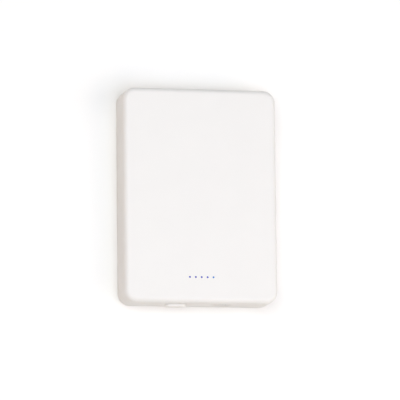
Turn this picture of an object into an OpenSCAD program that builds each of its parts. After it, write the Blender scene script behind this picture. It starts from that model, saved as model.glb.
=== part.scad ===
// Pocket power bank with a magnetic charging face, lying on that face.
// Origin: centre of the charging face. +Z points out of the front face, the one with the lights.
// -Y points to the port end, which holds the button and the USB-C port.

/* [Body] */
// Width across the front face
body_w = 68.9; // [68:0.1:72]
// Length from the port end to the plain end
body_l = 95.2; // [95:0.1:102]
// Thickness from the charging face to the front face
body_t = 16.5; // [16:0.5:19]
// Radius of the four upright corners
corner_r = 5.4; // [4.8:0.2:7]
// Radius of the rounded edge all round the front face
front_edge_r = 2.2; // [1.8:0.1:3.2]
// Radius of the small rounded edge round the charging face
rear_edge_r = 0.8; // [0.4:0.1:1]
// Thickness of the shell's side walls
side_wall = 1.5; // [1.3:0.1:1.7]
// Thickness of the shell's front wall
front_wall = 1.6; // [1.3:0.1:1.8]

/* [Rear cover] */
// Thickness of the cover plate
cover_t = 1.2; // [1.1:0.05:1.3]
// Gap all round between the cover and the shell
cover_gap = 0.1; // [0.05:0.01:0.2]
// Middle radius of the soft grip ring
grip_mid_r = 25.5; // [24:0.5:27]
// Width of the grip ring
grip_w = 6; // [3:0.5:7]
// Depth of the grip ring in the cover
grip_depth = 0.5; // [0.3:0.1:0.7]

/* [Charging coil and magnets] */
// Inner radius of the magnet ring
magnet_in_r = 23; // [22.8:0.1:23.4]
// Outer radius of the magnet ring
magnet_out_r = 27; // [26.6:0.1:27.4]
// Number of arc magnets in the ring
magnet_count = 16; // [12:1:18]
// Inner radius of the coil winding
coil_in_r = 9.6; // [9:0.1:10.5]
// Number of turns in the coil
coil_turns = 11; // [8:1:11]
// Distance from one turn to the next
coil_pitch = 1.02; // [0.98:0.01:1.05]
// Diameter of the stranded coil wire
coil_wire_d = 0.9; // [0.7:0.05:0.92]

/* [Cells] */
// Width of each pouch cell
cell_w = 61; // [58:0.5:61]
// Length of each pouch cell's thick part
cell_l = 67.5; // [64:0.5:67.5]
// Length of the sealed ledge at each cell's tab end
ledge_l = 4; // [3:0.5:4]
// Thickness of the tape between the cells
tape_t = 0.2; // [0.1:0.05:0.3]
// Thickness of the foam pads under the front wall
foam_t = 0.4; // [0.3:0.1:0.8]

/* [Board] */
// Width of the circuit board
board_w = 62; // [60:0.5:62.5]
// Length of the circuit board
board_l = 16.6; // [16:0.1:16.8]
// Thickness of the circuit board
board_t = 1; // [0.8:0.1:1]
// Diameter of the board screws' threads
screw_d = 1.4; // [1.2:0.1:1.6]

/* [Port] */
// Distance of the USB-C port from the middle, towards +X
port_x = 10.25; // [9:0.25:12]
// Width of the port's metal shell, a standard size
port_w = 8.94; // [8.94]
// Height of the port's metal shell, a standard size
port_h = 3.26; // [3.26]
// Depth of the port's metal shell, a standard size
port_depth = 7.35; // [7.35]
// Gap all round between the port's metal shell and the wall's opening
port_gap = 0.16; // [0.1:0.02:0.3]

/* [Button] */
// Distance of the power button from the middle, towards -X
button_x = 10.25; // [9:0.25:12]
// Width of the button's pill shape
button_w = 9.2; // [7:0.2:10]
// Height of the button's pill shape
button_h = 3.8; // [3:0.1:4]
// How far the button stands out of the wall
button_proud = 1.05; // [0.4:0.05:1.2]
// Radius of the rounded rim of the button's outer end
button_edge_r = 0.25; // [0.2:0.05:0.35]
// Gap all round the button in the wall
button_gap = 0.14; // [0.1:0.02:0.2]
// How far the button travels when it is pressed
button_travel = 0.25; // [0.15:0.05:0.3]

/* [Lights] */
// Number of lights in the row
light_count = 5; // [3:1:5]
// Distance from one light to the next
light_pitch = 2.65; // [2.5:0.05:3]
// Diameter of each light's window in the front face
light_d = 0.8; // [0.5:0.05:1]
// Distance of the row of lights from the port end
light_from_end = 11.3; // [11:0.1:11.5]

/* [Hidden] */
$fn = 48;

// Longer than the whole object, for cuts that go right through
far = 200;
// Small overlap of joined shapes, and small gap between neighbours
slip = 0.05;

// Inside of the shell
inner_w = body_w - 2 * side_wall;
inner_l = body_l - 2 * side_wall;
inner_r = corner_r - side_wall;
inner_edge_r = max(0.4, front_edge_r - front_wall);
ceiling_z = body_t - front_wall;
end_y = -body_l / 2;
end_wall_y = end_y + side_wall;

// Snap hooks that hold the cover in the shell, and the cover's walls
snap_ys = [-32, -11, 11, 32];
snap_xs = [-20, 20];
snap_l = 6;
snap_depth = 0.4;
snap_z = 2;
snap_h = 0.8;
snap_play = 0.1;
lip_t = 1;
ring_wall_t = 0.8;
ring_wall_h = 1.2;
grip_play = 0.02;

// Stack of the charging parts, from the cover's inner side up
coil_z = cover_t + slip + coil_wire_d / 2;
ferrite_z = cover_t + 1;
ferrite_t = 0.6;
magnet_t = 1.2;
yoke_t = 0.4;
shield_z = ferrite_z + ferrite_t;
shield_t = 0.2;
tray_z = shield_z + shield_t;
tray_t = 1;
tray_top = tray_z + tray_t;
coil_out_r = coil_in_r + coil_turns * coil_pitch + coil_wire_d;
ring_break = 12;
magnet_gap = 0.6;
alignment_magnet_y = -37.5;
alignment_magnet_size = [4, 8, magnet_t];
shield_size = [61, 60];
lead_x = 1.3;
lead_d = 0.8;
lead_bend_r = 1;
lead_hole_d = 1.3;
lead_slot_w = 1.2;
coil_end_angle = asin(lead_x / coil_out_r);
coil_play = 0.25;
ferrite_r = coil_out_r + 0.3;
shield_r = 3;
tray_play = 0.3;
side_rib_l = cell_l - 6;
side_rib_h = 5;
tray_tape_size = [50, 8, 0.1];
tray_tape_inset = 12;

// Cells
cell_t = (ceiling_z - foam_t - tray_top - tape_t - tray_tape_size.z) / 2;
cell_end_y = inner_l / 2 - 1.5;
cell_y = cell_end_y - cell_l / 2;
ledge_y = cell_end_y - cell_l;
ledge_t = 1;
rear_cell_z = tray_top + tray_tape_size.z;
front_cell_z = rear_cell_z + cell_t + tape_t;
rear_ledge_z = rear_cell_z + cell_t / 2 - ledge_t / 2;
front_ledge_z = front_cell_z + cell_t / 2 - ledge_t / 2;
tab_t = 0.15;
tab_w = 4;
tab_xs = [-14, 14];
strip_share = 0.6;
pouch_r = 2.4;
pouch_edge_r = 1;
pad_l = 56;
tape_w = 40;
foam_w = 9;
foam_x = 20;
guard_z = rear_ledge_z + ledge_t + tab_t;
guard_t = 0.8;
guard_top = guard_z + guard_t;
guard_w = 46;
guard_l = 3.6;
guard_chip_size = [3, 2.6, 0.9];
guard_sensor_size = [1.6, 0.8, 0.6];
guard_y = ledge_y - 0.3 - guard_l / 2;
wire_d = 1.3;
wire_bend_r = 1;
plus_x = -20;
minus_x = -16.5;
wire_tail = 2;
bead_d = 1.5;
bead_l = 1.9;
bead_lead_d = 0.4;
bead_lead_x = 0.4;
thermistor_x = 17;
thermistor_y = ledge_y - ledge_l + 0.6;
thermistor_z = front_ledge_z + ledge_t + bead_d / 2;

// Board
board_z = 6.05;
board_top = board_z + board_t;
board_y0 = end_wall_y + 0.5;
board_y1 = board_y0 + board_l;
board_r = 1.5;
film_size = [board_w - 9, board_l - 1, 0.1];
lead_hole_y = board_y1 - 1.2;
screw_xs = [-28.6, 28.6];
screw_ys = [board_y0 + 2.6, board_y1 - 2.2];
boss_d = 3.2;
head_d = screw_d * 1.9;
head_t = 0.7;
recess_d = 0.35;
rib_t = 0.8;
rib_y = ledge_y - ledge_l - 0.7;
rib_top = guard_z;

// Port
port_z = board_top + port_h / 2;
port_y0 = end_y + 0.35;
port_y1 = port_y0 + port_depth;
port_metal = 0.3;
tongue_w = 6.69;
tongue_t = 0.7;
tongue_y0 = port_y0 + 0.9;
plug_block_l = 1.6;
contact_pitch = 0.5;
contact_w = 0.25;
contact_t = 0.08;
contact_l = 3.6;
contact_count = 12;
leg_ys = [port_y0 + 3, port_y1 - 1];
leg_t = 0.2;
leg_l = 1.1;
collar_l = 1.4;
collar_t = 1.2;
leg_x = port_w / 2 - port_metal / 2;

// Button and its switch
button_z = board_top + 1.55;
flange_t = 0.7;
flange_y0 = end_wall_y + slip;
flange_y1 = flange_y0 + flange_t;
flange_w = button_w + 2.2;
flange_h = button_h + 1.2;
switch_y0 = end_wall_y + 3.1;
switch_l = 3.4;
switch_w = 6;
switch_h = 3.1;
switch_metal = 0.2;
stem_y0 = switch_y0 - switch_metal - 0.75;
stem_w = 2.4;
stem_h = 1.4;
cavity_w = 3.8;
cavity_h = 2.2;
cavity_l = 2.25;
plunger_flange = [3.4, 0.6, 1.9];
nub_r = 0.5;
dome_r = 1.05;
dome_rise = 0.45;
dome_ball_r = (dome_r * dome_r + dome_rise * dome_rise) / (2 * dome_rise);
dome_y1 = switch_y0 + cavity_l - slip;

// Lights
light_y = end_y + light_from_end;
light_xs = [for (i = [0 : light_count - 1]) (i - (light_count - 1) / 2) * light_pitch];
led_size = [1.6, 0.8, 0.6];
guide_d = 1.6;
guide_z0 = board_top + led_size.z + 0.1;
guide_step_z = ceiling_z - 0.2;
window_gap = 0.04;
baffle_w = light_count * light_pitch + 1.6;
baffle_l = 3.6;
collar_wall = 0.6;
collar_h = 1.5;

// Parts on the board: inductors as [x, distance from the board's port edge]
inductor_places = [[-23.5, 9.3], [22.3, 9.3]];
inductor_w = 7;
inductor_t = 4;
core_t = 0.4;
core_drop = 0.1;

// ---------- shared shapes ----------

module mirrored_x() {
    children();
    mirror([1, 0, 0]) children();
}

// Flat rectangle with round corners
module rounded_rect(w, l, r) {
    square([w - 2 * r, l], center = true);
    square([w, l - 2 * r], center = true);
    for (sx = [-1, 1], sy = [-1, 1])
        translate([sx * (w / 2 - r), sy * (l / 2 - r)]) circle(r);
}

module rounded_plate(w, l, r, z0, t) {
    translate([0, 0, z0]) linear_extrude(t) rounded_rect(w, l, r);
}

// What a round edge of radius r takes off a square corner
module corner_waste(r) {
    difference() {
        square(r + 1);
        circle(r);
    }
}

// Section through one side of a block, from the inside (x = 0) out to its rounded edges
module side_section(depth, t, top_r, low_r) {
    difference() {
        square([depth, t]);
        translate([depth - top_r, t - top_r]) corner_waste(top_r);
        if (low_r > 0)
            translate([depth - low_r, low_r]) mirror([0, 1]) corner_waste(low_r);
    }
}

// Block with upright corners of radius r and rounded edges above and below
module rounded_block(w, l, r, z0, t, top_r, low_r = 0) {
    translate([0, 0, z0]) {
        linear_extrude(t) square([w - 2 * r, l - 2 * r], center = true);
        for (side = [0, 180]) {
            rotate(side) translate([w / 2 - r, l / 2 - r, 0]) rotate([90, 0, 0])
                linear_extrude(l - 2 * r) side_section(r, t, top_r, low_r);
            rotate(side) translate([-w / 2 + r, l / 2 - r, 0]) rotate([90, 0, 90])
                linear_extrude(w - 2 * r) side_section(r, t, top_r, low_r);
        }
        for (q = [0 : 3])
            translate([(q == 0 || q == 3 ? 1 : -1) * (w / 2 - r), (q < 2 ? 1 : -1) * (l / 2 - r), 0])
                rotate(90 * q) rotate_extrude(angle = 90) side_section(r, t, top_r, low_r);
    }
}

// Pill shape seen from the port end, centred on its axis, running from y0 to y1
module pill(w, h, y0, y1) {
    translate([0, y1, 0]) rotate([90, 0, 0]) linear_extrude(y1 - y0) {
        square([w - h, h], center = true);
        for (s = [-1, 1]) translate([s * (w - h) / 2, 0]) circle(h / 2);
    }
}

module ring(r_in, r_out, z0, t) {
    translate([0, 0, z0]) difference() {
        cylinder(h = t, r = r_out);
        translate([0, 0, -1]) cylinder(h = t + 2, r = r_in);
    }
}

// Sector of a ring, centred on the direction a and spread over the angle span
module arc_block(r_in, r_out, z0, t, a, span) {
    translate([0, 0, z0]) rotate(a - span / 2) rotate_extrude(angle = span)
        translate([r_in, 0]) square([r_out - r_in, t]);
}

module box_at(x, y, z0, size) {
    translate([x - size.x / 2, y - size.y / 2, z0]) cube(size);
}

// Round wire: level from y0 down to the bend at y1, then upright to z1
module bent_wire(x, y0, z0, y1, z1, d, bend_r) {
    up = z1 > z0 ? 1 : -1;
    translate([x, y1 + bend_r, z0]) rotate([-90, 0, 0]) cylinder(h = y0 - y1 - bend_r, d = d);
    translate([x, y1 + bend_r, z0 + up * bend_r]) rotate([0, 90, 0]) rotate(up > 0 ? -90 : 180)
        rotate_extrude(angle = 90) translate([bend_r, 0]) circle(d = d, $fn = 24);
    translate([x, y1, min(z0 + up * bend_r, z1)]) cylinder(h = abs(z1 - z0) - bend_r, d = d);
}

// ---------- case ----------

// One box for each snap: reach is how far it stands out of the inner wall, grow widens it all round
module snap_boxes(wall_gap, reach, grow) {
    l = snap_l + 2 * grow;
    h = snap_h + 2 * grow;
    for (y = snap_ys)
        mirrored_x() box_at(inner_w / 2 - wall_gap, y, snap_z - grow, [2 * reach, l, h]);
    for (sy = [-1, 1], x = snap_xs)
        box_at(x, sy * (inner_l / 2 - wall_gap), snap_z - grow, [l, 2 * reach, h]);
}

module front_shell() {
    color("white") difference() {
        union() {
            difference() {
                rounded_block(body_w, body_l, corner_r, 0, body_t, front_edge_r, rear_edge_r);
                rounded_block(inner_w, inner_l, inner_r, -1, ceiling_z + 1, inner_edge_r);
            }
            baffle_collar();
        }
        snap_boxes(0, snap_depth, snap_play);
        translate([-button_x, 0, button_z])
            pill(button_w + 2 * button_gap, button_h + 2 * button_gap, end_y - 1, end_wall_y + 1);
        translate([port_x, 0, port_z])
            pill(port_w + 2 * port_gap, port_h + 2 * port_gap, end_y - 1, end_wall_y + 1);
        for (x = light_xs)
            translate([x, light_y, ceiling_z - 1]) cylinder(h = far, d = light_d + window_gap);
    }
}

// Low wall on the inside of the front face that locates the light baffle
module baffle_collar() {
    outer = 2 * (collar_wall + slip);
    difference() {
        box_at(0, light_y, ceiling_z - collar_h, [baffle_w + outer, baffle_l + outer, collar_h + slip]);
        box_at(0, light_y, ceiling_z - collar_h - 1,
            [baffle_w + 2 * slip, baffle_l + 2 * slip, collar_h + 1]);
    }
}

module rear_cover() {
    cover_w = inner_w - 2 * cover_gap;
    cover_l = inner_l - 2 * cover_gap;
    cover_r = inner_r - cover_gap;
    color("white") {
        difference() {
            rounded_plate(cover_w, cover_l, cover_r, 0, cover_t);
            ring(grip_mid_r - grip_w / 2 - grip_play, grip_mid_r + grip_w / 2 + grip_play,
                -1, 1 + grip_depth);
        }
        difference() {
            rounded_plate(cover_w, cover_l, cover_r, cover_t - slip, tray_z - cover_t + slip);
            rounded_plate(cover_w - 2 * lip_t, cover_l - 2 * lip_t, cover_r - lip_t, 0, tray_z + 1);
        }
        snap_boxes(cover_gap, snap_depth - snap_play + cover_gap, 0);
        // Low walls that keep the coil and the magnets in their places
        difference() {
            union() {
                ring(coil_out_r + coil_play, magnet_in_r - slip,
                    cover_t - slip, ferrite_z - cover_t - 2 * slip);
                ring(magnet_out_r + slip, magnet_out_r + slip + ring_wall_t,
                    cover_t - slip, ring_wall_h);
            }
            lead_channel();
        }
    }
}

// Passage through the coil parts for the two leads
module lead_channel() {
    translate([-2 * lead_x, -magnet_out_r - 3, cover_t]) cube([4 * lead_x, 12, far]);
}

module grip_ring() {
    color("gainsboro") ring(grip_mid_r - grip_w / 2, grip_mid_r + grip_w / 2, 0, grip_depth);
}

module button_cap() {
    outer_y = end_y - button_proud;
    color("white") translate([-button_x, 0, button_z]) {
        pill(button_w, button_h, outer_y + button_edge_r, flange_y1);
        rounded_pill_front(button_w, button_h, outer_y, button_edge_r);
        translate([-flange_w / 2, flange_y0, -flange_h / 2]) cube([flange_w, flange_t, flange_h]);
        translate([-stem_w / 2, flange_y0, -stem_h / 2]) cube([stem_w, stem_y0 - flange_y0, stem_h]);
    }
}

// The button's outer end, whose rim is rounded by the radius r
module rounded_pill_front(w, h, y0, r) {
    translate([0, y0 + r, 0]) rotate([90, 0, 0]) for (half = [0, 180]) rotate(half) {
        translate([(w - h) / 2, 0, 0]) rotate(-90)
            rotate_extrude(angle = 180) side_section(h / 2, r, r, 0);
        translate([-(w - h) / 2, 0, 0]) rotate([90, 0, 90])
            linear_extrude(w - h) side_section(h / 2, r, r, 0);
    }
}

// ---------- charging parts ----------

module magnet_ring() {
    open = 360 - 2 * ring_break;
    step = open / magnet_count;
    color("silver") for (i = [0 : magnet_count - 1])
        arc_block(magnet_in_r, magnet_out_r, cover_t, magnet_t,
            -90 + ring_break + (i + 0.5) * step, step - magnet_gap);
}

module yoke_ring() {
    color("dimgray")
        arc_block(magnet_in_r, magnet_out_r, cover_t + magnet_t, yoke_t, 90, 360 - 2 * ring_break);
}

module orientation_magnet() {
    color("silver") box_at(0, alignment_magnet_y, cover_t, alignment_magnet_size);
}

// Flat spiral winding: each turn is two half rings whose centres are half a pitch apart
module charge_coil() {
    color("chocolate") translate([0, 0, coil_z]) rotate(-90 - coil_end_angle)
        for (i = [0 : coil_turns - 1]) {
            r = coil_in_r + coil_wire_d / 2 + i * coil_pitch;
            half_turn(r);
            translate([coil_pitch / 2, 0, 0]) rotate(180) half_turn(r + coil_pitch / 2);
        }
}

module half_turn(r) {
    rotate_extrude(angle = 180) translate([r, 0]) circle(d = coil_wire_d, $fn = 24);
}

// The outer end runs level with the winding, and the inner end crosses over it in the ferrite's slot
module coil_leads() {
    end_z = board_top + 0.5;
    color("chocolate") {
        bent_wire(-lead_x, -ferrite_r, coil_z, lead_hole_y, end_z, lead_d, lead_bend_r);
        bent_wire(lead_x, -coil_in_r - 1, ferrite_z + lead_d / 2, lead_hole_y, end_z,
            lead_d, lead_bend_r);
    }
}

module lead_holes(d) {
    mirrored_x() translate([lead_x, lead_hole_y, 0]) cylinder(h = far, d = d);
}

module ferrite_disc() {
    color("#3a3a3e") difference() {
        translate([0, 0, ferrite_z]) cylinder(h = ferrite_t, r = ferrite_r);
        lead_slot();
    }
}

// Slot in the sheets over the coil for the lead from the winding's inner end
module lead_slot() {
    translate([lead_x - lead_slot_w / 2, -far, 0])
        cube([lead_slot_w, far - coil_in_r + lead_slot_w / 2, far]);
}

module shield_sheet() {
    color("#6b6f76") difference() {
        rounded_plate(shield_size.x, shield_size.y, shield_r, shield_z, shield_t);
        lead_slot();
        translate([-2 * lead_x, -far, 0]) cube([4 * lead_x, far - magnet_in_r + 2, far]);
    }
}

// ---------- frame and cells ----------

module inner_tray() {
    tray_w = inner_w - 2 * tray_play;
    tray_l = inner_l - 2 * tray_play;
    wall_x = cell_w / 2 + 0.25;
    color("#2e3034") difference() {
        union() {
            rounded_plate(tray_w, tray_l, inner_r - tray_play, tray_z, tray_t);
            mirrored_x()
                box_at(wall_x + rib_t / 2, cell_y, tray_top - slip, [rib_t, side_rib_l, side_rib_h]);
            box_at(0, rib_y - rib_t / 2, tray_top - slip, [2 * wall_x, rib_t, rib_top - tray_top]);
            for (x = screw_xs, y = screw_ys)
                translate([x, y, tray_top - slip]) cylinder(h = board_z - tray_top + slip, d = boss_d);
        }
        screw_holes(screw_d);
        lead_holes(lead_hole_d);
        // Shallow groove over the inner lead, which stands above the ferrite
        translate([lead_x - lead_slot_w / 2, lead_hole_y - lead_slot_w / 2, tray_z - 1])
            cube([lead_slot_w, far / 10, 1.3]);
    }
}

module tray_tape() {
    color("#e8e4da") for (y = [ledge_y + tray_tape_inset, cell_end_y - tray_tape_inset])
        box_at(0, y, tray_top, tray_tape_size);
}

// Foil pouch with a thin sealed ledge at the tab end
module pouch(z0, ledge_z) {
    translate([0, cell_y, 0])
        rounded_block(cell_w, cell_l, pouch_r, z0, cell_t, pouch_edge_r, pouch_edge_r);
    box_at(0, ledge_y - ledge_l / 2 + 0.5, ledge_z, [cell_w - 4, ledge_l + 1, ledge_t]);
}

module cell_rear() {
    color("#b9bcc2") pouch(rear_cell_z, rear_ledge_z);
}

module cell_front() {
    color("#b9bcc2") pouch(front_cell_z, front_ledge_z);
}

module cell_tape() {
    color("#f2efe6") box_at(0, cell_y, rear_cell_z + cell_t, [tape_w, pad_l, tape_t]);
}

module foam_pads() {
    color("#202124") for (s = [-1, 1])
        box_at(s * foam_x, cell_y, front_cell_z + cell_t, [foam_w, pad_l, foam_t]);
}

module cell_tabs() {
    strip_y = guard_y - guard_l / 2 - tab_t;
    color("#d9d5c8") for (x = tab_xs) {
        box_at(x, guard_y, rear_ledge_z + ledge_t, [tab_w, guard_l - 0.6, tab_t]);
        translate([x * strip_share - tab_w / 2, strip_y, guard_z + 0.1]) {
            cube([tab_w, tab_t, front_ledge_z - guard_z - 0.1]);
            translate([0, 0, front_ledge_z - tab_t - guard_z - 0.1]) cube([tab_w, 3, tab_t]);
        }
    }
}

module protection_board() {
    color("#1d5c3a") box_at(0, guard_y, guard_z, [guard_w, guard_l, guard_t]);
}

module protection_chips() {
    color("#1b1b1d") {
        for (x = [-4, 4]) box_at(x, guard_y, guard_top, guard_chip_size);
        for (x = [-9.5, 0, 9.5]) box_at(x, guard_y, guard_top, guard_sensor_size);
    }
}

// Insulated wire from the protection board over the gap and down to the main board
module battery_wire(x) {
    bent_wire(x, guard_y + 1, guard_top + wire_d / 2,
        board_y1 - wire_tail, board_top, wire_d, wire_bend_r);
}

module battery_wire_plus() {
    color("crimson") battery_wire(plus_x);
}

module battery_wire_minus() {
    color("#17181a") battery_wire(minus_x);
}

module thermistor() {
    color("#101214") translate([thermistor_x, thermistor_y + bead_l, thermistor_z]) rotate([90, 0, 0])
        cylinder(h = bead_l, d = bead_d);
}

module thermistor_leads() {
    color("#c9b48c") for (s = [-1, 1])
        bent_wire(thermistor_x + s * bead_lead_x, thermistor_y, thermistor_z,
            board_y1 - wire_tail, board_top, bead_lead_d, wire_bend_r);
}

// ---------- main board ----------

module screw_holes(d) {
    for (x = screw_xs, y = screw_ys) translate([x, y, 0]) cylinder(h = far, d = d);
}

module main_board() {
    color("#1c1f24") difference() {
        translate([0, (board_y0 + board_y1) / 2, 0])
            rounded_plate(board_w, board_l, board_r, board_z, board_t);
        // Notch that the button's flange dips into
        translate([-button_x - flange_w / 2 - 0.5, board_y0 - 1, 0])
            cube([flange_w + 1, flange_y1 + button_travel + 0.2 - board_y0 + 1, far]);
        screw_holes(screw_d + 0.2);
        lead_holes(lead_d + 0.2);
        port_leg_holes();
    }
}

module port_leg_holes() {
    for (s = [-1, 1], y = leg_ys)
        box_at(port_x + s * leg_x, y, 0, [leg_t + 0.4, leg_l + 0.3, far]);
}

module board_film() {
    color("#b5651d") difference() {
        box_at(0, (board_y0 + board_y1) / 2, tray_top, film_size);
        lead_holes(lead_hole_d);
    }
}

module board_screws() {
    color("silver") for (x = screw_xs, y = screw_ys) translate([x, y, 0]) {
        translate([0, 0, tray_z + 0.1]) cylinder(h = board_top - tray_z, d = screw_d - 0.04);
        translate([0, 0, board_top]) difference() {
            cylinder(h = head_t, d = head_d);
            for (a = [0, 90]) rotate(a) box_at(0, 0, head_t - recess_d, [head_d * 0.6, recess_d, 1]);
        }
    }
}

module usb_shell() {
    color("silver") {
        translate([port_x, 0, port_z]) difference() {
            pill(port_w, port_h, port_y0, port_y1);
            pill(port_w - 2 * port_metal, port_h - 2 * port_metal, port_y0 - 1, port_y1 + 1);
        }
        for (s = [-1, 1], y = leg_ys)
            box_at(port_x + s * leg_x, y, board_z + 0.1, [leg_t, leg_l, port_z - board_z]);
    }
}

module usb_insulator() {
    back_y = port_y1 - plug_block_l;
    color("#141414") translate([port_x, 0, port_z]) difference() {
        union() {
            pill(port_w - 2 * port_metal - slip, port_h - 2 * port_metal - slip, back_y, port_y1);
            translate([-tongue_w / 2, tongue_y0, -tongue_t / 2])
                cube([tongue_w, back_y - tongue_y0 + slip, tongue_t]);
            translate([-tongue_w / 2, back_y - collar_l, -collar_t / 2])
                cube([tongue_w, collar_l + slip, collar_t]);
        }
        usb_contact_blocks(0.01);
    }
}

// Twelve contacts on each side of the tongue, let in flush
module usb_contact_blocks(grow) {
    first_x = -(contact_count - 1) / 2 * contact_pitch - contact_w / 2 - grow;
    for (i = [0 : contact_count - 1], side = [-1, 1])
        translate([first_x + i * contact_pitch, tongue_y0 + 0.5, side * tongue_t / 2])
            translate([0, 0, side > 0 ? -contact_t : -grow])
                cube([contact_w + 2 * grow, contact_l, contact_t + grow]);
}

module usb_contacts() {
    color("gold") translate([port_x, 0, port_z]) usb_contact_blocks(0);
}

module switch_housing() {
    color("#26272b") difference() {
        box_at(-button_x, switch_y0 + switch_l / 2, board_top, [switch_w, switch_l, switch_h]);
        box_at(-button_x, switch_y0, button_z - cavity_h / 2, [cavity_w, 2 * cavity_l, cavity_h]);
    }
}

// Shallow metal dome at the back of the switch's cavity, its crown towards the button
module switch_dome() {
    color("gold") translate([-button_x, dome_y1, button_z]) rotate([90, 0, 0]) intersection() {
        difference() {
            translate([0, 0, dome_rise - dome_ball_r]) sphere(dome_ball_r);
            translate([0, 0, dome_rise - dome_ball_r]) sphere(dome_ball_r - 0.08);
        }
        cylinder(h = 1, r = dome_r + 0.1);
    }
}

module switch_plunger() {
    flange_end = switch_y0 + plunger_flange.y;
    nub_end = dome_y1 - dome_rise;
    color("#d8d4c8") translate([-button_x, 0, button_z]) {
        translate([-stem_w / 2, stem_y0, -stem_h / 2]) cube([stem_w, flange_end - stem_y0, stem_h]);
        translate([-plunger_flange.x / 2, switch_y0, -plunger_flange.z / 2]) cube(plunger_flange);
        translate([0, nub_end, 0]) rotate([90, 0, 0]) cylinder(h = nub_end - switch_y0, r = nub_r);
    }
}

module switch_cover() {
    color("silver") translate([-button_x, 0, 0]) {
        difference() {
            box_at(0, switch_y0 - switch_metal / 2, board_top + 0.05, [switch_w, switch_metal, switch_h]);
            box_at(0, switch_y0, button_z - stem_h / 2 - 0.08, [stem_w + 0.16, 2, stem_h + 0.16]);
        }
        box_at(0, switch_y0 + 1.2, board_top + switch_h, [switch_w, 2.8, switch_metal]);
        box_at(0, switch_y0 - switch_metal / 2, board_top + switch_h - slip,
            [switch_w, switch_metal, switch_metal + slip]);
    }
}

module light_chips() {
    color("#f4e9a8") for (x = light_xs) box_at(x, light_y, board_top, led_size);
}

module light_baffle() {
    height = ceiling_z - board_top - 2 * slip;
    color("#111214") difference() {
        box_at(0, light_y, board_top + slip, [baffle_w, baffle_l, height]);
        for (x = light_xs) {
            translate([x, light_y, 0]) cylinder(h = far, d = guide_d + 0.06);
            box_at(x, light_y, 0, [led_size.x + 0.1, led_size.y + 0.2, board_top + led_size.z + 0.1]);
        }
    }
}

// Clear rod that ends in the narrow window of the front face
module light_guide(x) {
    translate([x, light_y, guide_z0]) cylinder(h = guide_step_z - guide_z0, d = guide_d);
    translate([x, light_y, guide_step_z - slip]) cylinder(h = body_t - guide_step_z + slip, d = light_d);
}

module charge_light_guides() {
    color("#2c3f9c") for (i = [0 : light_count - 2]) light_guide(light_xs[i]);
}

module wireless_light_guide() {
    color("#5a86bd") light_guide(light_xs[light_count - 1]);
}

// Closed block on the board: x from the middle, and the distance d from the board's port edge
module on_board(x, d, size) {
    box_at(x, board_y0 + d, board_top, size);
}

module power_inductors() {
    color("#3b3d40") for (p = inductor_places) translate([p.x, board_y0 + p.y, 0]) difference() {
        rounded_plate(inductor_w, inductor_w, 1, board_top, inductor_t);
        translate([0, 0, board_top + inductor_t - core_t - core_drop]) cylinder(h = 1, d = inductor_w - 2);
    }
}

module inductor_cores() {
    color("#8a5a2b") for (p = inductor_places)
        translate([p.x, board_y0 + p.y, board_top + inductor_t - core_t - core_drop])
            cylinder(h = core_t, d = inductor_w - 2 - 2 * slip);
}

// Square chips: the charger, the wireless driver and the small controller
module controller_chips() {
    color("#18191b") {
        on_board(12.6, 10.4, [5, 5, 0.85]);
        on_board(-13.2, 10.3, [5, 5, 0.85]);
        on_board(-2.2, 3.3, [3, 3, 0.75]);
    }
}

module power_transistors() {
    color("#1e1f22") for (x = [-23.4, -18.3, 18.4, 23.2]) on_board(x, 2.9, [3.3, 3.3, 0.9]);
}

module resonance_capacitors() {
    color("#a98f6b") for (x = [-9.4, -5.4, 5.4, 9.4]) on_board(x, 14.9, [3.2, 1.6, 1.2]);
}

module bulk_capacitors() {
    color("#caa23a") for (d = [7.3, 10.9]) on_board(28.4, d, [3.5, 2.8, 1.9]);
}

module small_capacitors() {
    color("#b79a74") for (i = [-3 : 3]) on_board(2.5 * i, 12.3, [1, 0.5, 0.5]);
}

module sense_resistors() {
    color("#222326") for (i = [0 : 2]) on_board(-28.9, 6.8 + 2.2 * i, [2, 1.25, 0.6]);
}

module crystal() {
    color("silver") on_board(2.6, 3.2, [2.5, 2, 0.7]);
}

front_shell();
rear_cover();
grip_ring();
button_cap();
magnet_ring();
yoke_ring();
orientation_magnet();
charge_coil();
coil_leads();
ferrite_disc();
shield_sheet();
inner_tray();
tray_tape();
cell_rear();
cell_front();
cell_tape();
foam_pads();
cell_tabs();
protection_board();
protection_chips();
battery_wire_plus();
battery_wire_minus();
thermistor();
thermistor_leads();
main_board();
board_film();
board_screws();
usb_shell();
usb_insulator();
usb_contacts();
switch_housing();
switch_dome();
switch_plunger();
switch_cover();
light_chips();
light_baffle();
charge_light_guides();
wireless_light_guide();
power_inductors();
inductor_cores();
controller_chips();
power_transistors();
resonance_capacitors();
bulk_capacitors();
small_capacitors();
sense_resistors();
crystal();
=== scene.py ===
"""Looks of the pocket power bank round its CAD part: finer meshes, materials, floor, lights and camera."""

import math

import bmesh
import bpy
from mathutils import Matrix, Vector


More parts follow.
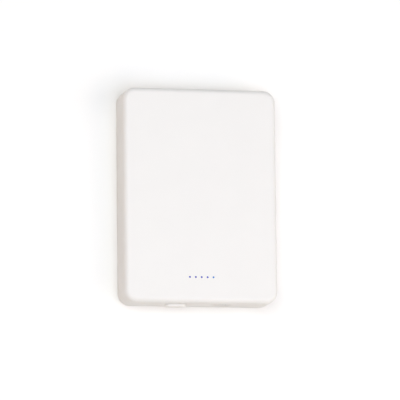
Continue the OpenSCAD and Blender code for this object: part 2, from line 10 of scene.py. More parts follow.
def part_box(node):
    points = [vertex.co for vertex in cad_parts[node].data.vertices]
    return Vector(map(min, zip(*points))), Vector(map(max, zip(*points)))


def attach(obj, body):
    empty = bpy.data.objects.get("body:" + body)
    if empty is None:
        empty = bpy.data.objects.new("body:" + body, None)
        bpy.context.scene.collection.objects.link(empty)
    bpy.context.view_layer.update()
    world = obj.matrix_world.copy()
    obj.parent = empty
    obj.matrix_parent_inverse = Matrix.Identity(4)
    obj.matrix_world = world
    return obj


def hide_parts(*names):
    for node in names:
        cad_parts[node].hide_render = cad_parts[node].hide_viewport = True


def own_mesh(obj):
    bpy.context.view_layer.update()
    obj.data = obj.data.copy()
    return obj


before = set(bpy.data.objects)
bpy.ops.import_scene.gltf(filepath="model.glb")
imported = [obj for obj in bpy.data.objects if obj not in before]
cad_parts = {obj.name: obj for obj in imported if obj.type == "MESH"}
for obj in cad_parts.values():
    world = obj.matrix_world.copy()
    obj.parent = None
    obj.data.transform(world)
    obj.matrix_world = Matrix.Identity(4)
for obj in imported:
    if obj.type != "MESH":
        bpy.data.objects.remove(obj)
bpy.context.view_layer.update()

MM = 0.001

# Sizes shared with the CAD part, in metres
CORNER_R = 5.4 * MM
FRONT_EDGE_R = 2.2 * MM
REAR_EDGE_R = 0.8 * MM
SIDE_WALL = 1.5 * MM
FRONT_WALL = 1.6 * MM
INNER_EDGE_R = FRONT_EDGE_R - FRONT_WALL
BUTTON_GAP = 0.14 * MM
PORT_GAP = 0.16 * MM
LIGHT_GAP = 0.02 * MM
LIGHT_D = 0.8 * MM
LIGHT_COUNT = 5
GUIDE_D = 1.6 * MM
SNAP_YS = [y * MM for y in (-32, -11, 11, 32)]
SNAP_XS = [x * MM for x in (-20, 20)]
SNAP_L = 6 * MM
SNAP_DEPTH = 0.4 * MM
SNAP_Z = 2 * MM
SNAP_H = 0.8 * MM
COLLAR_WALL = 0.6 * MM
COLLAR_H = 1.5 * MM
BUTTON_W = 9.2 * MM
BUTTON_H = 3.8 * MM
BUTTON_RIM_R = 0.25 * MM
PORT_W = 8.94 * MM
PORT_H = 3.26 * MM
PORT_METAL = 0.3 * MM
TONGUE_W = 6.69 * MM
TONGUE_T = 0.69 * MM
DOME_T = 0.08 * MM

# Shell details: how far lips are rounded, room round the snaps and the baffle, reach of cutters past a wall
LIP_R = 0.18 * MM
LIGHT_LIP_R = 0.06 * MM
SNAP_PLAY = 0.1 * MM
COLLAR_PLAY = 0.05 * MM
COLLAR_OVERLAP = 0.3 * MM
FACE_RING_INSET = 0.5 * MM
CUT_REACH = 1 * MM
LIP_SKIN = 0.002 * MM
LIGHT_LIP_SKIN = 0.001 * MM

# Button details: the dish in its face, and the flange and stem behind the wall
BUTTON_DISH = 0.08 * MM
DISH_RINGS = 6
DISH_SHARE = 0.94
FLANGE_GAP = 0.05 * MM
FLANGE_T = 0.7 * MM
FLANGE_REACH_X = 1.1 * MM
FLANGE_REACH_Z = 0.6 * MM
STEM_HALF_W = 1.2 * MM
STEM_HALF_H = 0.7 * MM
STEM_OVERLAP = 0.2 * MM

# Port details: the flare inside the mouth, the solder legs, and the tongue with its base and step
FLARE = 0.08 * MM
FLARE_L = 0.4 * MM
LEG_T = 0.2 * MM
LEG_L = 1.1 * MM
LEG_YS = (3 * MM, 1 * MM)
LEG_TIP_H = 0.25 * MM
LEG_TIP_SHARE = 0.3
BASE_L = 1.6 * MM
BASE_GAP = 0.05 * MM
BASE_OVERLAP = 0.4 * MM
STEP_T = 1.2 * MM
STEP_L = 1.4 * MM
STEP_EDGE = 0.15 * MM
TONGUE_EDGE = 0.17 * MM

# Parts on the boards: lengths, and shares of the part's own size
PAD_REACH = Vector((0.05, 0.05, 0)) * MM
PAD_W_SHARE = 0.5
PAD_L = 0.3 * MM
PAD_H = 0.2 * MM
WIDE_PITCH = 0.65 * MM
FINE_PITCH = 0.5 * MM
PACKAGE_CORNER = 0.1 * MM
PACKAGE_EDGE = 0.05 * MM
DIMPLE_R = 0.2 * MM
DIMPLE_R_SHARE = 0.09
DIMPLE_DEPTH = 0.04 * MM
DIMPLE_TOP = 0.1 * MM
END_SHARE = 0.2
END_SKIN = 0.04 * MM
END_SKIN_SHARE = 0.06
END_EDGE_SHARE = 1.5
CRYSTAL_FLANGE = 0.15 * MM
CRYSTAL_FLANGE_CORNER = 0.2 * MM
CRYSTAL_FLANGE_EDGE = 0.04 * MM
CRYSTAL_LID_CORNER = 0.3 * MM
CRYSTAL_LID_EDGE = 0.15 * MM
SOLID_WELD = 0.001 * MM

# Dome: its first ring's angle from the tip, in radians, and its rings and sides
DOME_TIP = 0.03
DOME_RINGS = 12
DOME_SIDES = 36

# Steps of the rounded shapes
CORNER_STEPS = 16
BLOCK_CORNER_STEPS = 4
EDGE_STEPS = 14
REAR_EDGE_STEPS = 8
INNER_EDGE_STEPS = 6
LIP_STEPS = 8
LIGHT_LIP_STEPS = 4
LIGHT_SIDES = 32
RIM_STEPS = 10
PILL_STEPS = 20
MOUTH_STEPS = 12
TONGUE_STEPS = 5
BLOCK_EDGE_STEPS = 4
DIMPLE_SIDES = 24
RIGHT_ANGLE = math.radians(90)
FULL_TURN = math.radians(360)
SHARP_ANGLE = math.radians(35)

shell_low, shell_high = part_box("front_shell")
WIDTH = shell_high.x - shell_low.x
LENGTH = shell_high.y - shell_low.y
THICKNESS = shell_high.z
END_Y = shell_low.y


# ---------- node helpers ----------

def add(tree, kind, settings=None, **inputs):
    """Adds a node, with properties from settings, and inputs set or linked.

    An input is named with _ for a space, or by its number as i0, i1 and so on.
    """
    made = tree.nodes.new(kind)
    for key, value in (settings or {}).items():
        setattr(made, key, value)
    for key, value in inputs.items():
        numbered = key[0] == "i" and key[1:].isdigit()
        socket = made.inputs[int(key[1:]) if numbered else key.replace("_", " ")]
        if isinstance(value, bpy.types.NodeSocket):
            tree.links.new(value, socket)
        else:
            socket.default_value = value
    return made


def new_material(name):
    """An empty node material with one Principled shader: (material, tree, shader)."""
    material = bpy.data.materials.new(name)
    material.use_nodes = True
    tree = material.node_tree
    tree.nodes.clear()
    shader = add(tree, "ShaderNodeBsdfPrincipled")
    add(tree, "ShaderNodeOutputMaterial", Surface=shader.outputs["BSDF"])
    return material, tree, shader


def place(tree, stretch=(1, 1, 1)):
    """The surface point in millimetres, in the frame shared with the CAD part."""
    point = add(tree, "ShaderNodeTexCoord").outputs["Object"]
    scale = tuple(s / MM for s in stretch)
    return add(tree, "ShaderNodeVectorMath", {"operation": "MULTIPLY"}, i0=point, i1=scale).outputs[0]


def noise(tree, size, detail=3.0, stretch=(1, 1, 1), roughness=0.55):
    """Noise from 0 to 1 with blotches of about this size in millimetres."""
    found = add(tree, "ShaderNodeTexNoise", Vector=place(tree, stretch), Scale=1 / size, Detail=detail,
                Roughness=roughness)
    return found.outputs["Fac"]


def cell_walls(tree, scale):
    """Distance from the walls between random cells, this many to a millimetre."""
    walls = {"feature": "DISTANCE_TO_EDGE"}
    return add(tree, "ShaderNodeTexVoronoi", walls, Vector=place(tree), Scale=scale).outputs["Distance"]


def spread(tree, value, low, high, start=0.3, end=0.7):
    """value between start and end, mapped to low and high."""
    mapped = add(tree, "ShaderNodeMapRange", Value=value, From_Min=start, From_Max=end,
                 To_Min=low, To_Max=high)
    return mapped.outputs[0]


def tint(tree, factor, first, second):
    """Colour from first, at factor 0, to second, at factor 1."""
    mixed = add(tree, "ShaderNodeMix", {"data_type": "RGBA"}, i0=factor, i6=(*first, 1), i7=(*second, 1))
    return mixed.outputs[2]


def shade(colour, share):
    """A colour darker or lighter by this share."""
    return tuple(min(1.0, c * (1 + share)) for c in colour)


def link(tree, socket, shader, name):
    """Links a socket to one of the shader's inputs."""
    tree.links.new(socket, shader.inputs[name])


def relief(tree, shader, height, depth):
    """Bump of this depth in millimetres on the shader's normal."""
    bump = add(tree, "ShaderNodeBump", Strength=1.0, Distance=depth * MM, Height=height)
    link(tree, bump.outputs["Normal"], shader, "Normal")


def vary(tree, shader, value, colour, first, last, start=0.3, end=0.7):
    """Base colour shaded by the share first to last, as value goes from start to end."""
    share = spread(tree, value, 0, 1, start, end)
    link(tree, tint(tree, share, shade(colour, first), shade(colour, last)), shader, "Base Color")


# ---------- kinds of material ----------

def moulded(name, colour, roughness, grain=0.22, depth=0.012, mottle=0.006, sheen=0.0):
    """Moulded plastic or rubber with the fine spark-eroded grain of its tool and a faint mottle."""
    material, tree, shader = new_material(name)
    blotches = noise(tree, 14, 2)
    fine = noise(tree, grain, 2)
    vary(tree, shader, blotches, colour, -mottle, mottle)
    link(tree, spread(tree, fine, roughness - 0.05, roughness + 0.05), shader, "Roughness")
    relief(tree, shader, fine, depth)
    shader.inputs["Sheen Weight"].default_value = sheen
    return material


def metal(name, colour, roughness, stretch=(1, 1, 1), grain=0.12, depth=0.003, wear=0.06):
    """Bare or plated metal with drawn or rolled streaks along its longest stretch."""
    material, tree, shader = new_material(name)
    streaks = noise(tree, grain, 4, stretch)
    stains = noise(tree, 2.5, 3)
    vary(tree, shader, stains, colour, -wear, wear)
    link(tree, spread(tree, streaks, roughness - 0.08, roughness + 0.1), shader, "Roughness")
    shader.inputs["Metallic"].default_value = 1.0
    relief(tree, shader, streaks, depth)
    return material


def litz(name, colour):
    """Stranded winding wire: fine strands that follow the turns, in a thin glossy enamel."""
    material, tree, shader = new_material(name)
    rings = {"wave_type": "RINGS", "rings_direction": "Z"}
    strands = add(tree, "ShaderNodeTexWave", rings, Vector=place(tree), Scale=2.1, Distortion=1.6,
                  Detail=2.0, Detail_Scale=1.5).outputs["Fac"]
    link(tree, tint(tree, strands, shade(colour, -0.45), shade(colour, 0.2)), shader, "Base Color")
    link(tree, spread(tree, strands, 0.45, 0.28, 0, 1), shader, "Roughness")
    shader.inputs["Metallic"].default_value = 0.85
    shader.inputs["Coat Weight"].default_value = 0.3
    relief(tree, shader, strands, 0.03)
    return material


def sintered(name, colour, speck, roughness=0.6):
    """Pressed ferrite or ceramic: fine grain with brighter specks and a few shallow cracks."""
    material, tree, shader = new_material(name)
    grains = add(tree, "ShaderNodeTexVoronoi", Vector=place(tree), Scale=6.0).outputs["Distance"]
    cracks = cell_walls(tree, 0.16)
    link(tree, tint(tree, spread(tree, grains, 0, 1, 0.1, 0.6), speck, colour), shader, "Base Color")
    link(tree, spread(tree, grains, roughness - 0.1, roughness + 0.1, 0, 0.6), shader, "Roughness")
    relief(tree, shader, spread(tree, cracks, 0, 1, 0, 0.02), 0.02)
    return material


def laminate(name, mask, trace, pad_colour):
    """Circuit board: solder mask over straight copper tracks, with rows of small bare vias."""
    material, tree, shader = new_material(name)
    point = place(tree)
    tracks = add(tree, "ShaderNodeTexBrick", {"offset": 0.37, "squash": 1.0}, Vector=point, Scale=0.55,
                 Mortar_Size=0.06, Mortar_Smooth=0.05, Brick_Width=3.4, Row_Height=0.62,
                 Color1=(0, 0, 0, 1), Color2=(0, 0, 0, 1), Mortar=(1, 1, 1, 1)).outputs["Color"]
    vias = add(tree, "ShaderNodeTexVoronoi", Vector=point, Scale=0.55, Randomness=0.65).outputs["Distance"]
    via = spread(tree, vias, 1, 0, 0.10, 0.13)
    covered = tint(tree, tracks, mask, trace)
    painted = add(tree, "ShaderNodeMix", {"data_type": "RGBA"}, i0=via, i6=covered, i7=(*pad_colour, 1))
    link(tree, painted.outputs[2], shader, "Base Color")
    link(tree, spread(tree, noise(tree, 0.35, 3), 0.3, 0.45), shader, "Roughness")
    link(tree, via, shader, "Metallic")
    relief(tree, shader, tracks, 0.03)
    return material


def pouch_foil(name, colour):
    """Aluminium laminate of a pouch cell: dull silver with soft dents over the folded cell inside."""
    material, tree, shader = new_material(name)
    dents = noise(tree, 9, 4, (1, 0.6, 1))
    grain = noise(tree, 0.18, 2)
    height = add(tree, "ShaderNodeMath", {"operation": "MULTIPLY_ADD"}, i0=grain, i1=0.05, i2=dents)
    vary(tree, shader, dents, colour, -0.08, 0.06)
    link(tree, spread(tree, grain, 0.34, 0.5), shader, "Roughness")
    shader.inputs["Metallic"].default_value = 0.9
    relief(tree, shader, height.outputs[0], 0.35)
    return material


def foam(name, colour):
    """Open-cell foam: lighter walls round pores that are painted dark, as painted shade in the pores."""
    material, tree, shader = new_material(name)
    cells = cell_walls(tree, 2.6)
    # Painted shade: the pores are painted darker and the walls lighter, following the same cells as the bump
    vary(tree, shader, cells, colour, 1.2, -0.5, 0.02, 0.2)
    link(tree, spread(tree, cells, 0.8, 1.0, 0, 0.3), shader, "Roughness")
    relief(tree, shader, spread(tree, cells, 1, 0, 0, 0.3), 0.15)
    shader.inputs["Sheen Weight"].default_value = 0.3
    return material


def tape(name, colour, stretch=(1, 0.08, 1)):
    """Thin adhesive tape: crossed fibres under a satin film."""
    material, tree, shader = new_material(name)
    along = noise(tree, 0.3, 3, stretch)
    across = noise(tree, 0.3, 3, (stretch[1], stretch[0], 1))
    both = add(tree, "ShaderNodeMath", {"operation": "MULTIPLY"}, i0=along, i1=across).outputs[0]
    vary(tree, shader, both, colour, -0.1, 0.06, 0.12, 0.42)
    link(tree, spread(tree, both, 0.4, 0.6, 0.12, 0.42), shader, "Roughness")
    relief(tree, shader, both, 0.03)
    return material


def film(name, colour):
    """Polyimide film: glossy amber with slow ripples."""
    material, tree, shader = new_material(name)
    ripples = noise(tree, 5, 2, (1, 0.3, 1))
    vary(tree, shader, ripples, colour, -0.2, 0.15)
    link(tree, spread(tree, ripples, 0.18, 0.32), shader, "Roughness")
    shader.inputs["Coat Weight"].default_value = 0.5
    relief(tree, shader, ripples, 0.12)
    return material


def epoxy(name, colour, roughness):
    """Moulded chip epoxy: near black, filled with fine silica that shows as a soft sparkle."""
    material, tree, shader = new_material(name)
    filler = noise(tree, 0.06, 2)
    vary(tree, shader, filler, colour, 0, 1.5, 0.55, 0.75)
    link(tree, spread(tree, filler, roughness - 0.08, roughness + 0.08), shader, "Roughness")
    relief(tree, shader, filler, 0.006)
    return material


def light_window(name, colour, glow, strength):
    """Tinted acrylic at a light's window, with the chip's own light in it."""
    material, tree, shader = new_material(name)
    swirl = noise(tree, 0.25, 2)
    vary(tree, shader, swirl, colour, -0.12, 0.12)
    link(tree, spread(tree, swirl, 0.2, 0.34), shader, "Roughness")
    shader.inputs["Coat Weight"].default_value = 0.1
    shader.inputs["Emission Color"].default_value = (*glow, 1)
    shader.inputs["Emission Strength"].default_value = strength
    relief(tree, shader, swirl, 0.004)
    return material


WARM_WHITE = (0.82, 0.81, 0.79)
BARE_PAD = (0.8, 0.6, 0.25)

# Which kind of material each slot of the record gets, and its facts
LOOKS = [
    (moulded, "shell_plastic", dict(colour=WARM_WHITE, roughness=0.52)),
    (moulded, "cover_plastic", dict(colour=shade(WARM_WHITE, -0.02), roughness=0.58, depth=0.016)),
    # button_plastic is the shell's white painted 5% lighter, a painted highlight so the button's face reads
    # as brightly lit
    (moulded, "button_plastic", dict(colour=shade(WARM_WHITE, 0.05), roughness=0.4, depth=0.005)),
    (moulded, "grip_silicone", dict(colour=(0.62, 0.61, 0.6), roughness=0.75, sheen=0.25)),
    (metal, "nickel_magnet", dict(colour=(0.72, 0.70, 0.66), roughness=0.3)),
    (metal, "yoke_steel", dict(colour=(0.33, 0.33, 0.34), roughness=0.42, stretch=(1, 0.1, 1))),
    (litz, "copper_wire", dict(colour=(0.72, 0.30, 0.13))),
    (sintered, "ferrite", dict(colour=(0.045, 0.043, 0.045), speck=(0.12, 0.12, 0.125))),
    (metal, "shield_foil",
     dict(colour=(0.42, 0.43, 0.45), roughness=0.38, stretch=(0.08, 1, 1), depth=0.008)),
    (moulded, "tray_plastic", dict(colour=(0.032, 0.034, 0.038), roughness=0.55)),
    (tape, "white_tape", dict(colour=(0.78, 0.76, 0.70))),
    (pouch_foil, "cell_foil", dict(colour=(0.62, 0.63, 0.65))),
    (foam, "black_foam", dict(colour=(0.02, 0.02, 0.022))),
    (metal, "tab_nickel", dict(colour=(0.66, 0.62, 0.54), roughness=0.34, stretch=(0.15, 1, 1))),
    (laminate, "guard_mask", dict(mask=(0.012, 0.11, 0.04), trace=(0.02, 0.2, 0.08), pad_colour=BARE_PAD)),
    (laminate, "board_mask",
     dict(mask=(0.012, 0.014, 0.018), trace=(0.03, 0.034, 0.04), pad_colour=BARE_PAD)),
    (epoxy, "chip_epoxy", dict(colour=(0.012, 0.012, 0.013), roughness=0.48)),
    (moulded, "wire_red", dict(colour=(0.55, 0.02, 0.025), roughness=0.36, depth=0.003)),
    (moulded, "wire_black", dict(colour=(0.012, 0.012, 0.014), roughness=0.36, depth=0.003)),
    (epoxy, "bead_epoxy", dict(colour=(0.008, 0.009, 0.011), roughness=0.2)),
    (metal, "tinned_wire", dict(colour=(0.68, 0.66, 0.62), roughness=0.3, stretch=(1, 0.1, 1))),
    (film, "amber_film", dict(colour=(0.48, 0.19, 0.03))),
    (metal, "bright_steel", dict(colour=(0.7, 0.69, 0.67), roughness=0.24)),
    (metal, "port_steel", dict(colour=(0.62, 0.60, 0.57), roughness=0.28, stretch=(0.1, 1, 1))),
    (moulded, "port_plastic", dict(colour=(0.014, 0.014, 0.015), roughness=0.42, grain=0.1, depth=0.003)),
    (metal, "contact_gold", dict(colour=(0.9, 0.62, 0.24), roughness=0.22, stretch=(1, 0.1, 1))),
    (moulded, "switch_plastic", dict(colour=(0.02, 0.021, 0.024), roughness=0.5, grain=0.1, depth=0.004)),
    (moulded, "plunger_plastic", dict(colour=(0.66, 0.62, 0.52), roughness=0.45, grain=0.1, depth=0.004)),
    (epoxy, "led_resin", dict(colour=(0.78, 0.66, 0.22), roughness=0.3)),
    (moulded, "baffle_plastic", dict(colour=(0.01, 0.01, 0.011), roughness=0.7)),
    (light_window, "light_blue", dict(colour=(0.006, 0.02, 0.34), glow=(0.0, 0.05, 0.5), strength=0.2)),
    (light_window, "light_pale_blue", dict(colour=(0.02, 0.18, 0.46), glow=(0.0, 0.15, 0.6), strength=0.16)),
    (sintered, "inductor_ferrite", dict(colour=(0.06, 0.062, 0.066), speck=(0.16, 0.16, 0.165))),
    (sintered, "capacitor_ceramic", dict(colour=(0.42, 0.30, 0.18), speck=(0.5, 0.38, 0.24), roughness=0.4)),
    (epoxy, "bulk_resin", dict(colour=(0.62, 0.40, 0.06), roughness=0.35)),
    (sintered, "resistor_ceramic",
     dict(colour=(0.02, 0.021, 0.024), speck=(0.05, 0.05, 0.055), roughness=0.35)),
]


def make_materials():
    """One node material for each of the record's slots, in place of the frame's plain ones."""
    plain = list(bpy.data.materials)
    for old in plain:
        old.name = "plain_" + old.name
    made = {name: build(name, **facts) for build, name, facts in LOOKS}
    for cad_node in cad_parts.values():
        for holder in cad_node.material_slots:
            holder.material = made[holder.material.name.removeprefix("plain_")]
    for old in plain:
        bpy.data.materials.remove(old)
    return made


materials = make_materials()


# ---------- mesh helpers ----------

def outline(width, length, radius, steps=CORNER_STEPS):
    """Rectangle with rounded corners round the origin, anticlockwise, as flat points."""
    points = []
    for quarter in range(4):
        side_x = 1 if quarter in (0, 3) else -1
        side_y = 1 if quarter < 2 else -1
        for step in range(steps + 1):
            turn = RIGHT_ANGLE * (quarter + step / steps)
            points.append((side_x * (width / 2 - radius) + radius * math.cos(turn),
                           side_y * (length / 2 - radius) + radius * math.sin(turn)))
    return points


def bridge(shape, first, last):
    """Band of faces between two loops of as many vertices."""
    for i in range(len(first)):
        j = (i + 1) % len(first)
        shape.faces.new((first[i], first[j], last[j], last[i]))


def loft(shape, rings, closed=True):
    """Skins the rings of points in order, with a flat cap on the first and the last if closed."""
    rows = [[shape.verts.new(point) for point in ring] for ring in rings]
    for low, high in zip(rows, rows[1:]):
        bridge(shape, low, high)
    if closed:
        shape.faces.new(list(reversed(rows[0])))
        shape.faces.new(rows[-1])
    return rows


def quarter_turn(steps):
    """(sine, cosine) pairs over a quarter turn."""
    turns = [RIGHT_ANGLE * i / steps for i in range(steps + 1)]
    return [(math.sin(turn), math.cos(turn)) for turn in turns]


def box_into(shape, low, high):
    """A closed box between two corners, as part of a larger mesh."""
    square = [(low[0], low[1]), (high[0], low[1]), (high[0], high[1]), (low[0], high[1])]
    loft(shape, [[(x, y, z) for x, y in square] for z in (low[2], high[2])])


def finish_mesh(shape, name):
    """The object made of a bmesh, with outward faces."""
    bmesh.ops.recalc_face_normals(shape, faces=shape.faces)
    mesh = bpy.data.meshes.new(name)
    shape.to_mesh(mesh)
    shape.free()
    made = bpy.data.objects.new(name, mesh)
    bpy.context.scene.collection.objects.link(made)
    return made


def carve(target, tool, operation="DIFFERENCE"):
    """Cuts the tool out of the target, or joins it on, for good, and removes the tool."""
    step = target.modifiers.new("carve", "BOOLEAN")
    step.operation = operation
    step.solver = "EXACT"
    step.object = tool
    graph = bpy.context.evaluated_depsgraph_get()
    result = bpy.data.meshes.new_from_object(target.evaluated_get(graph), depsgraph=graph)
    target.modifiers.remove(step)
    target.data = result
    bpy.data.objects.remove(tool)


def dress(piece, body, slot, *stands_for):
    """Smooth shading, a material, a body to ride on and the CAD nodes that the piece stands for."""
    piece.data.materials.clear()
    piece.data.materials.append(materials[slot])
    piece.data.polygons.foreach_set("use_smooth", [True] * len(piece.data.polygons))
    piece.data.set_sharp_from_angle(angle=SHARP_ANGLE)
    weighted = piece.modifiers.new("weighted_normals", "WEIGHTED_NORMAL")
    weighted.keep_sharp = True
    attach(piece, body)
    if stands_for:
        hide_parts(*stands_for)


def pill_ring(centre, width, height, y, steps=PILL_STEPS):
    """Stadium outline in the plane of the port end, at this y."""
    radius = height / 2
    points = []
    for side, first in ((1, -90), (-1, 90)):
        for step in range(steps + 1):
            turn = math.radians(first + 180 * step / steps)
            points.append((centre.x + side * (width / 2 - radius) + radius * math.cos(turn), y,
                           centre.z + radius * math.sin(turn)))
    return points


# ---------- front shell ----------

def shell_ring(inset, z):
    """Outline of the shell at this height, moved inwards by inset."""
    return [(x, y, z) for x, y in outline(WIDTH - 2 * inset, LENGTH - 2 * inset, CORNER_R - inset)]


def end_cutter(shape, centre, width, height):
    """Pill-shaped opening through the port end, with a rounded lip outside."""
    rings = [pill_ring(centre, width + 2 * LIP_R, height + 2 * LIP_R, END_Y - CUT_REACH)]
    for sine, cosine in quarter_turn(LIP_STEPS):
        grow = 2 * LIP_R * (1 - sine)
        y = END_Y + LIP_R * (1 - cosine) - LIP_SKIN
        rings.append(pill_ring(centre, width + grow, height + grow, y))
    rings.append(pill_ring(centre, width, height, END_Y + SIDE_WALL + CUT_REACH))
    loft(shape, rings)


def light_cutter(shape, x, y, radius):
    """Round hole through the front wall for one light, with a rounded lip outside."""
    heights = [(radius, THICKNESS - FRONT_WALL - CUT_REACH), (radius, THICKNESS - LIGHT_LIP_R)]
    for sine, cosine in quarter_turn(LIGHT_LIP_STEPS):
        z = THICKNESS - LIGHT_LIP_R * (1 - sine) + LIGHT_LIP_SKIN
        heights.append((radius + LIGHT_LIP_R * (1 - cosine), z))
    heights.append((radius + LIGHT_LIP_R, THICKNESS + CUT_REACH))
    turns = [FULL_TURN * i / LIGHT_SIDES for i in range(LIGHT_SIDES)]
    loft(shape, [[(x + r * math.cos(t), y + r * math.sin(t), z) for t in turns] for r, z in heights])


def middle(node):
    """Centre of a CAD node's box."""
    low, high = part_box(node)
    return (low + high) / 2


def light_places():
    """Where the lights stand, from the ends of their row."""
    low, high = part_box("charge_light_guides")
    last = middle("wireless_light_guide")
    first_x = low.x + GUIDE_D / 2
    pitch = (last.x - first_x) / (LIGHT_COUNT - 1)
    return [(first_x + i * pitch, last.y) for i in range(LIGHT_COUNT)]


def make_shell():
    """One-piece front and side walls with rounded edges, two openings at the port end and light windows."""
    rings = [shell_ring(REAR_EDGE_R * (1 - sine), REAR_EDGE_R * (1 - cosine))
             for sine, cosine in quarter_turn(REAR_EDGE_STEPS)]
    front_z = THICKNESS - FRONT_EDGE_R
    rings += [shell_ring(FRONT_EDGE_R * (1 - cosine), front_z + FRONT_EDGE_R * sine)
              for sine, cosine in quarter_turn(EDGE_STEPS)]
    rings.append(shell_ring(FRONT_EDGE_R + FACE_RING_INSET, THICKNESS))
    shape = bmesh.new()
    outer = loft(shape, rings, closed=False)
    shape.faces.new(outer[-1])
    ceiling = THICKNESS - FRONT_WALL
    inside = [shell_ring(SIDE_WALL, 0)]
    inside += [shell_ring(SIDE_WALL + INNER_EDGE_R * (1 - cosine), ceiling - INNER_EDGE_R * (1 - sine))
               for sine, cosine in quarter_turn(INNER_EDGE_STEPS)]
    inner = loft(shape, inside, closed=False)
    shape.faces.new(inner[-1])
    bridge(shape, outer[0], inner[0])
    shell = finish_mesh(shape, "shell_body")

    cutters = bmesh.new()
    end_cutter(cutters, middle("button_cap"), BUTTON_W + 2 * BUTTON_GAP, BUTTON_H + 2 * BUTTON_GAP)
    end_cutter(cutters, middle("usb_contacts"), PORT_W + 2 * PORT_GAP, PORT_H + 2 * PORT_GAP)
    for x, y in light_places():
        light_cutter(cutters, x, y, LIGHT_D / 2 + LIGHT_GAP)
    carve(shell, finish_mesh(cutters, "openings"))
    carve(shell, snap_pockets())
    add_collar(shell)
    dress(shell, "case", "shell_plastic", "front_shell")


def snap_pockets():
    """Pockets in the side walls that the cover's snap hooks reach into."""
    shape = bmesh.new()
    half_l = SNAP_L / 2 + SNAP_PLAY
    low_z, high_z = SNAP_Z - SNAP_PLAY, SNAP_Z + SNAP_H + SNAP_PLAY
    wall_x, wall_y = WIDTH / 2 - SIDE_WALL, LENGTH / 2 - SIDE_WALL
    for side in (-1, 1):
        for y in SNAP_YS:
            x = side * wall_x
            box_into(shape, (x - SNAP_DEPTH, y - half_l, low_z), (x + SNAP_DEPTH, y + half_l, high_z))
        for x in SNAP_XS:
            y = side * wall_y
            box_into(shape, (x - half_l, y - SNAP_DEPTH, low_z), (x + half_l, y + SNAP_DEPTH, high_z))
    return finish_mesh(shape, "snap_pockets")


def add_collar(shell):
    """Low wall under the front face round the lights' baffle, joined to the shell."""
    low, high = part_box("light_baffle")
    ceiling = THICKNESS - FRONT_WALL
    walls = []
    for reach, low_z, high_z in ((COLLAR_WALL + COLLAR_PLAY, ceiling - COLLAR_H, ceiling + COLLAR_OVERLAP),
                                 (COLLAR_PLAY, ceiling - 2 * COLLAR_H, ceiling + CUT_REACH)):
        shape = bmesh.new()
        box_into(shape, (low.x - reach, low.y - reach, low_z), (high.x + reach, high.y + reach, high_z))
        walls.append(finish_mesh(shape, "collar"))
    carve(walls[0], walls[1])
    carve(shell, walls[0], "UNION")


# ---------- button ----------

def make_button():
    """Pill-shaped button: rounded rim, faint dish for the fingertip, and flange and stem behind the wall."""
    at = middle("button_cap")
    low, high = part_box("button_cap")
    flange_y = END_Y + SIDE_WALL + FLANGE_GAP
    rings = [pill_ring(at, BUTTON_W, BUTTON_H, flange_y + FLANGE_T / 2)]
    for sine, cosine in quarter_turn(RIM_STEPS):
        inset = 2 * BUTTON_RIM_R * (1 - cosine)
        rings.append(pill_ring(at, BUTTON_W - inset, BUTTON_H - inset, low.y + BUTTON_RIM_R * (1 - sine)))
    for step in range(1, DISH_RINGS + 1):
        share = step / DISH_RINGS
        inset = 2 * BUTTON_RIM_R + share * (BUTTON_H - 2 * BUTTON_RIM_R) * DISH_SHARE
        y = low.y + BUTTON_DISH * (1 - (1 - share) ** 2)
        rings.append(pill_ring(at, BUTTON_W - inset, BUTTON_H - inset, y))
    shape = bmesh.new()
    loft(shape, rings)
    button = finish_mesh(shape, "button_body")
    flange_top = flange_y + FLANGE_T
    for name, half_w, half_h, front, back in (
            ("flange", BUTTON_W / 2 + FLANGE_REACH_X, BUTTON_H / 2 + FLANGE_REACH_Z, flange_y, flange_top),
            ("stem", STEM_HALF_W, STEM_HALF_H, flange_top - STEM_OVERLAP, high.y)):
        block = bmesh.new()
        box_into(block, (at.x - half_w, front, at.z - half_h), (at.x + half_w, back, at.z + half_h))
        carve(button, finish_mesh(block, name), "UNION")
    dress(button, "button", "button_plastic", "button_cap")


# ---------- port ----------

def make_port_shell():
    """Drawn steel tube with a rounded mouth and a slight flare inside it, standing on four solder legs."""
    low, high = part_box("usb_shell")
    at = middle("usb_contacts")
    mouth_r = PORT_METAL / 2
    inner_w, inner_h = PORT_W - 2 * PORT_METAL, PORT_H - 2 * PORT_METAL
    rings = [pill_ring(at, PORT_W, PORT_H, high.y)]
    for step in range(MOUTH_STEPS):
        turn = 2 * RIGHT_ANGLE * step / MOUTH_STEPS
        inset = 2 * mouth_r * (1 - math.cos(turn))
        rings.append(pill_ring(at, PORT_W - inset, PORT_H - inset, low.y + mouth_r * (1 - math.sin(turn))))
    rings.append(pill_ring(at, inner_w + FLARE, inner_h + FLARE, low.y + mouth_r))
    rings.append(pill_ring(at, inner_w, inner_h, low.y + FLARE_L))
    rings.append(pill_ring(at, inner_w, inner_h, high.y))
    shape = bmesh.new()
    rows = loft(shape, rings, closed=False)
    bridge(shape, rows[0], rows[-1])
    tube = finish_mesh(shape, "port_shell")
    legs = bmesh.new()
    for side in (-1, 1):
        x = at.x + side * (PORT_W - PORT_METAL) / 2
        for y in (low.y + LEG_YS[0], high.y - LEG_YS[1]):
            tapered_leg(legs, x, y, low.z, at.z)
    carve(tube, finish_mesh(legs, "legs"), "UNION")
    dress(tube, "case", "port_steel", "usb_shell")


def tapered_leg(shape, x, y, low_z, high_z):
    """Solder leg of the port, narrower at its tip."""
    half = LEG_T / 2
    heights = ((low_z, LEG_TIP_SHARE * LEG_L), (low_z + LEG_TIP_H, LEG_L / 2), (high_z, LEG_L / 2))
    loft(shape, [[(x - half, y - reach, z), (x + half, y - reach, z),
                  (x + half, y + reach, z), (x - half, y + reach, z)] for z, reach in heights])


